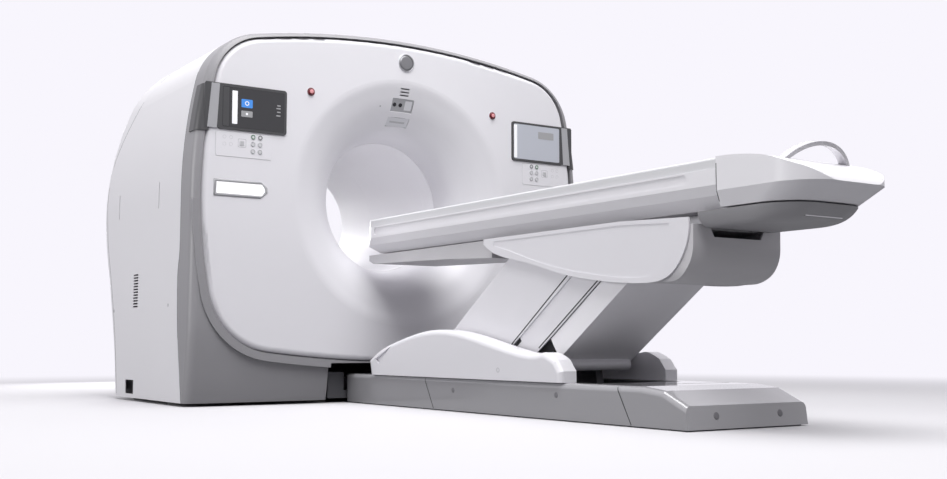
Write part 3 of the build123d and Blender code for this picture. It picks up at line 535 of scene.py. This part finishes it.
# seams laid as narrow dark strips of painted shade, standing for the shadow in each gap; the flank's lines are
# points in Y and Z
seamSettings = {"flankWidth": 0.0026, "baseWidth": 0.004, "podWidth": 0.003, "bendSteps": 10,
                "rear": [(0.752, 0.03), (0.801, 0.317), (0.882, 0.593), (0.983, 0.879), (1.005, 1.108),
                         (0.948, 1.301), (0.813, 1.452), (0.648, 1.593), (0.430, 1.760)],
                "front": [(-0.243, 0.03), (-0.186, 0.300), (-0.166, 0.520), (-0.166, 0.640), (-0.187, 0.760),
                          (-0.187, 1.10), (-0.187, 1.45), (-0.187, 1.62)],
                "base": (("near", -1.026, -1.113), ("far", -2.355, -2.439)), "baseHigh": 0.146,
                "baseFrom": 0.008, "baseRun": 0.136, "topHalf": 0.296, "podY": -2.8024, "podFrom": 0.775,
                "podRun": 0.13}
sideTree = nodeTree("front_frame", "side_cover_left", "side_cover_right", "rear_cover")
for side, sign in sides:
    for seamName in ("rear", "front"):
        starts = [(sign * 1.6, y, z) for y, z in bend(seamSettings[seamName], seamSettings["bendSteps"])]
        seamStrip(f"{seamName}Seam_{side}", sideTree, starts, (-sign, 0, 0), seamSettings["flankWidth"], "stand")
baseTree = nodeTree("base_cover_front", "base_cover_middle", "base_cover_foot")
for label, top, bottom in seamSettings["base"]:
    for side, sign in sides:
        heights = [seamSettings["baseFrom"] + seamSettings["baseRun"] * i / 24 for i in range(25)]
        starts = [(sign * 0.6, bottom + (top - bottom) * z / seamSettings["baseHigh"], z) for z in heights]
        seamStrip(f"baseSeam_{label}_{side}", baseTree, starts, (-sign, 0, 0), seamSettings["baseWidth"], "stand")
    if label == "far":
        starts = [(seamSettings["topHalf"] * (2 * i / 30 - 1), top, 0.5) for i in range(31)]
        seamStrip("baseSeam_far_top", baseTree, starts, down, seamSettings["baseWidth"], "stand")
beamTree = nodeTree("cradle_beam", "foot_pod", "cradle_top")
for side, sign in sides:
    starts = [(sign * 0.5, seamSettings["podY"], seamSettings["podFrom"] + seamSettings["podRun"] * i / 30)
              for i in range(31)]
    seamStrip(f"podSeam_{side}", beamTree, starts, (-sign, 0, 0), seamSettings["podWidth"], "cradle")
print("seams made")

# painted shade as dark lips where the leg covers slide in each other: (label, node, body, start, end) in Y and Z
lipSettings = {"width": 0.006,
               "lips": (("front", "leg_cover_front", "leg_front", (-1.560, 0.276), (-2.010, 0.600)),
                        ("middle", "leg_cover_middle", "leg_middle", (-1.765, 0.278), (-2.150, 0.543)))}
for label, node, body, start, end in lipSettings["lips"]:
    lipTree = nodeTree(node)
    for side, sign in sides:
        starts = [(sign * 0.5, start[0] + (end[0] - start[0]) * i / 30, start[1] + (end[1] - start[1]) * i / 30)
                  for i in range(31)]
        seamStrip(f"legLip_{label}_{side}", lipTree, starts, (-sign, 0, 0), lipSettings["width"], body)

# plugs in the base and screw covers; a place is (x, y, z) where a ray starts, and its way along X
plugSettings = {"base": ((-0.6, -2.003, 0.099, 1), (-0.6, -1.27, 0.094, 1), (0.6, -2.003, 0.099, -1),
                         (0.6, -1.27, 0.094, -1)),
                "basePlug": [(0.011, -0.001), (0.011, 0.0006), (0.009, 0.001), (0.003, 0.0008)],
                "footX": (-0.159, 0.159), "footZ": 0.05,
                "footPlug": [(0.013, -0.001), (0.013, 0.0006), (0.011, 0.001), (0.003, 0.0008)]}
for i, (x, y, z, way) in enumerate(plugSettings["base"]):
    place, normal = surfaceAt(baseTree, (x, y, z), (way, 0, 0))
    turnedButton(f"basePlug{i}", place, normal, plugSettings["basePlug"], "plugGrey", "stand")
for i, x in enumerate(plugSettings["footX"]):
    place, normal = surfaceAt(baseTree, (x, -3.2, plugSettings["footZ"]), intoFront)
    turnedButton(f"footPlug{i}", place, normal, plugSettings["footPlug"], "plugGrey", "stand")
screwSettings = {"fairing": (-1.63, 0.188), "flank": ((-0.039, 0.484), (0.832, 0.476)),
                 "fairingScrew": [(0.010, -0.001), (0.010, 0.0008), (0.008, 0.0008), (0.0075, -0.0004),
                                  (0.002, -0.0004)],
                 "sideScrew": [(0.009, -0.001), (0.009, 0.0001), (0.007, 0.0001), (0.0065, 0.00005),
                               (0.002, 0.00005)]}
fairingTree = nodeTree("leg_fairing_left", "leg_fairing_right")
for side, sign in sides:
    place, normal = surfaceAt(fairingTree, (sign * 0.6, *screwSettings["fairing"]), (-sign, 0, 0))
    turnedButton(f"fairingScrew_{side}", place, normal, screwSettings["fairingScrew"], "inkPale", "stand")
for side, sign in sides:
    for i, (y, z) in enumerate(screwSettings["flank"]):
        place, normal = surfaceAt(sideTree, (sign * 1.6, y, z), (-sign, 0, 0))
        turnedButton(f"sideScrew{i}_{side}", place, normal, screwSettings["sideScrew"], "inkPale", "stand")
print("plugs and screws made")

# floor, backdrop and lights
stageSettings = {"floorHalf": 60, "floorColor": (0.66, 0.65, 0.675), "floorDim": (0.26, 0.26, 0.27),
                 "floorRoughness": 0.6, "skyColor": (0.94, 0.92, 0.985), "skyLight": 0.26,
                 "fadeCentre": (0.0, -1.0, 0.0), "fadeFrom": 2.6, "fadeTo": 7.0}
far = stageSettings["floorHalf"]
floorMesh = bpy.data.meshes.new("floor")
floorMesh.from_pydata([(-far, -far, 0), (far, -far, 0), (far, far, 0), (-far, far, 0)], [], [(0, 1, 2, 3)])
floor = bpy.data.objects.new("floor", floorMesh)
bpy.context.scene.collection.objects.link(floor)
floorMaterial = bpy.data.materials.new("floor")
floorMaterial.use_nodes = True
floorNodes, floorLinks = floorMaterial.node_tree.nodes, floorMaterial.node_tree.links
floorShader = floorNodes["Principled BSDF"]
floorRays = floorNodes.new("ShaderNodeLightPath")
floorTone = floorNodes.new("ShaderNodeMix")         # pale to the camera, dimmer as a bounce light
floorTone.data_type = "RGBA"                        # its colour sockets: A is 6, B is 7, result is 2
floorTone.inputs[6].default_value = (*stageSettings["floorDim"], 1)
floorTone.inputs[7].default_value = (*stageSettings["floorColor"], 1)
floorLinks.new(floorRays.outputs["Is Camera Ray"], floorTone.inputs[0])
floorLinks.new(floorTone.outputs[2], floorShader.inputs["Base Color"])
floorShader.inputs["Roughness"].default_value = stageSettings["floorRoughness"]
floorShader.inputs["Specular IOR Level"].default_value = 0.0
skyShade = floorNodes.new("ShaderNodeEmission")     # the floor fades into the backdrop far away
skyShade.inputs["Color"].default_value = (*stageSettings["skyColor"], 1)
floorPlace = floorNodes.new("ShaderNodeTexCoord")
floorOffset = floorNodes.new("ShaderNodeVectorMath")
floorOffset.operation = "SUBTRACT"
floorOffset.inputs[1].default_value = stageSettings["fadeCentre"]
floorLinks.new(floorPlace.outputs["Object"], floorOffset.inputs[0])
floorLength = floorNodes.new("ShaderNodeVectorMath")
floorLength.operation = "LENGTH"
floorLinks.new(floorOffset.outputs["Vector"], floorLength.inputs[0])
floorFade = floorNodes.new("ShaderNodeMapRange")
floorFade.interpolation_type = "SMOOTHSTEP"
floorFade.inputs["From Min"].default_value = stageSettings["fadeFrom"]
floorFade.inputs["From Max"].default_value = stageSettings["fadeTo"]
floorLinks.new(floorLength.outputs["Value"], floorFade.inputs["Value"])
floorSeen = floorNodes.new("ShaderNodeLightPath")
floorMask = floorNodes.new("ShaderNodeMath")
floorMask.operation = "MULTIPLY"
floorLinks.new(floorFade.outputs["Result"], floorMask.inputs[0])
floorLinks.new(floorSeen.outputs["Is Camera Ray"], floorMask.inputs[1])
floorMix = floorNodes.new("ShaderNodeMixShader")
floorLinks.new(floorMask.outputs[0], floorMix.inputs["Fac"])
floorLinks.new(floorShader.outputs[0], floorMix.inputs[1])
floorLinks.new(skyShade.outputs[0], floorMix.inputs[2])
floorLinks.new(floorMix.outputs[0], floorNodes["Material Output"].inputs["Surface"])
floorMesh.materials.append(floorMaterial)

world = bpy.data.worlds.new("studio")
bpy.context.scene.world = world
world.use_nodes = True
worldNodes, worldLinks = world.node_tree.nodes, world.node_tree.links
back = worldNodes["Background"]
back.inputs["Color"].default_value = (*stageSettings["skyColor"], 1)
rayKind = worldNodes.new("ShaderNodeLightPath")
seen = worldNodes.new("ShaderNodeMath")
seen.operation = "MAXIMUM"
worldLinks.new(rayKind.outputs["Is Camera Ray"], seen.inputs[0])
worldLinks.new(rayKind.outputs["Is Glossy Ray"], seen.inputs[1])
level = worldNodes.new("ShaderNodeMapRange")
level.inputs["To Min"].default_value = stageSettings["skyLight"]
level.inputs["To Max"].default_value = 1.0
worldLinks.new(seen.outputs[0], level.inputs["Value"])
worldLinks.new(level.outputs["Result"], back.inputs["Strength"])


def softLight(name, place, target, size, power):
    data = bpy.data.lights.new(name, "AREA")
    data.shape = "SQUARE"
    data.size = size
    data.energy = power
    lamp = bpy.data.objects.new(name, data)
    lamp.location = place
    lamp.rotation_euler = (Vector(target) - Vector(place)).to_track_quat("-Z", "Y").to_euler()
    bpy.context.scene.collection.objects.link(lamp)


# (name, place, target, size in metres, power in watts)
lightSettings = (("overhead", (-0.8, -2.4, 6.5), (-0.1, -1.0, 0.8), 5.5, 500),
                 ("front", (-1.5, -7.0, 6.6), (0, -0.3, 1.7), 3.0, 178),
                 ("leftSide", (-10.0, 0.8, 2.4), (0, 0, 1.1), 3.6, 310),
                 ("behindBore", (0, 3.6, 1.4), (0, 0.6, 1.04), 1.6, 75))
for light in lightSettings:
    softLight(*light)
print("stage set")
